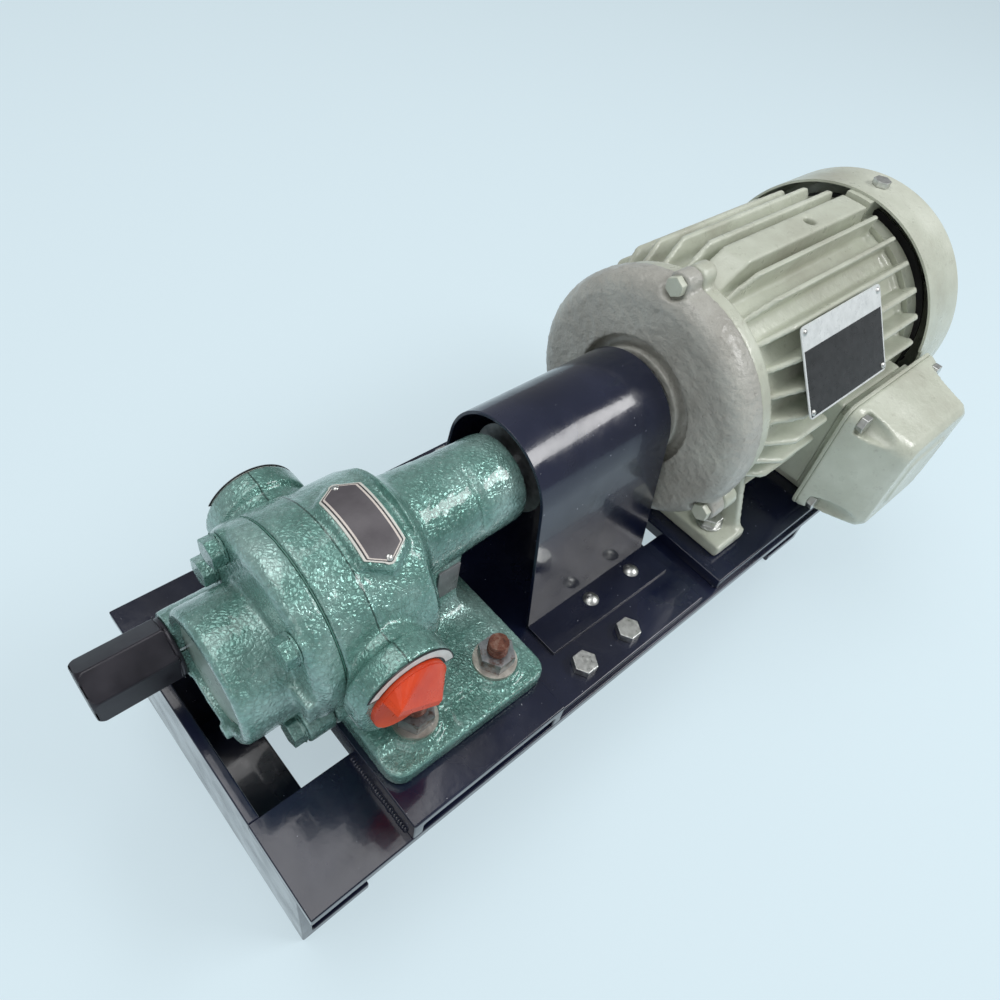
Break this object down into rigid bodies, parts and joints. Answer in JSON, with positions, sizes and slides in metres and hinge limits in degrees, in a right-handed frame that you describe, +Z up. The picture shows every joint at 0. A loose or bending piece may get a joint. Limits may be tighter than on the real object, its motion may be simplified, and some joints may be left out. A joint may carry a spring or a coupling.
{
  "type": "motor driven gear pump set",
  "caption": "External gear pump with a relief valve, coupled to a foot mounted electric motor on a welded steel base frame, with a sheet metal coupling guard.",
  "frame": {"origin": "centre of the foundation bolt pattern, on the floor below the base frame", "axes": "+X along the shafts from the pump to the motor, +Y towards the delivery side, +Z up"},
  "size_m": [0.5475, 0.2254, 0.25],
  "materials": {
    "navy_paint": "gloss",
    "green_hammertone": "hammered gloss",
    "inner_green": "satin",
    "motor_paint": "semi gloss over cast iron",
    "zinc": "zinc plated",
    "rusty_steel": "dull, rusted ends",
    "bright_steel": "ground",
    "spring_steel": "drawn",
    "bronze": "turned",
    "black_steel": "dark, semi gloss",
    "grey_iron": "machined",
    "red_rubber": "matt",
    "black_rubber": "matt",
    "gasket_fibre": "matt",
    "orange_plastic": "semi gloss",
    "plate_black": "satin",
    "label_silver": "satin",
    "core_steel": "laminated",
    "fan_plastic": "matt",
    "board_resin": "matt"
  },
  "bodies": {
    "frame": {"side_rail_near": "navy_paint", "side_rail_far": "navy_paint", "front_cross": "navy_paint", "rear_cross": "navy_paint", "pump_brace": "navy_paint", "motor_brace": "navy_paint", "pump_pad": "navy_paint", "mid_plate": "navy_paint", "motor_plate": "navy_paint", "mid_plate_bolts": "zinc", "coupling_guard": "navy_paint", "guard_screws": "zinc", "pump_body": "green_hammertone", "front_cover": "green_hammertone", "cover_gasket": "gasket_fibre", "cover_bolts": "green_hammertone", "boss_disc": "inner_green", "shaft_bushes": "bronze", "shaft_seal": "black_rubber", "valve_seat": "bright_steel", "valve_spring": "spring_steel", "valve_screw": "bright_steel", "valve_cap": "black_steel", "suction_plug": "orange_plastic", "pump_nameplate": "plate_black", "suction_label": "label_silver", "delivery_label": "label_silver", "pump_foot_bolts": "rusty_steel", "motor_housing": "motor_paint", "stator_core": "core_steel", "motor_bearings": "bright_steel", "drive_shield": "motor_paint", "rear_shield": "motor_paint", "shield_bolts": "motor_paint", "fan_cowl": "motor_paint", "cowl_screws": "zinc", "box_base": "motor_paint", "terminal_board": "board_resin", "box_lid": "motor_paint", "lid_bolts": "zinc", "motor_nameplate": "plate_black", "motor_foot_bolts": "zinc"},
    "rotor": {"drive_shaft": "bright_steel", "drive_gear": "bright_steel", "pump_hub": "grey_iron", "coupling_spider": "red_rubber", "motor_hub": "grey_iron", "motor_shaft": "bright_steel", "rotor_core": "core_steel", "cooling_fan": "fan_plastic"},
    "idler": {"idler_shaft": "bright_steel", "idler_gear": "bright_steel"},
    "poppet": {"valve_poppet": "bright_steel"}
  },
  "joints": [
    {"name": "rotor_spin", "type": "hinge", "parent": "frame", "child": "rotor", "pos_m": [0, 0, 0.163], "axis": [1, 0, 0], "continuous": true},
    {"name": "idler_spin", "type": "hinge", "parent": "frame", "child": "idler", "pos_m": [-0.1529, 0, 0.131], "axis": [1, 0, 0], "continuous": true},
    {"name": "relief_lift", "type": "slide", "parent": "frame", "child": "poppet", "axis": [-1, 0, 0], "range_m": [0, 0.003], "stiffness_N_per_m": 800, "springref_m": -0.002, "deforming": ["valve_spring"]}
  ],
  "couplings": [
    {"joint": "idler_spin", "follows": "rotor_spin", "ratio": -1}
  ]
}
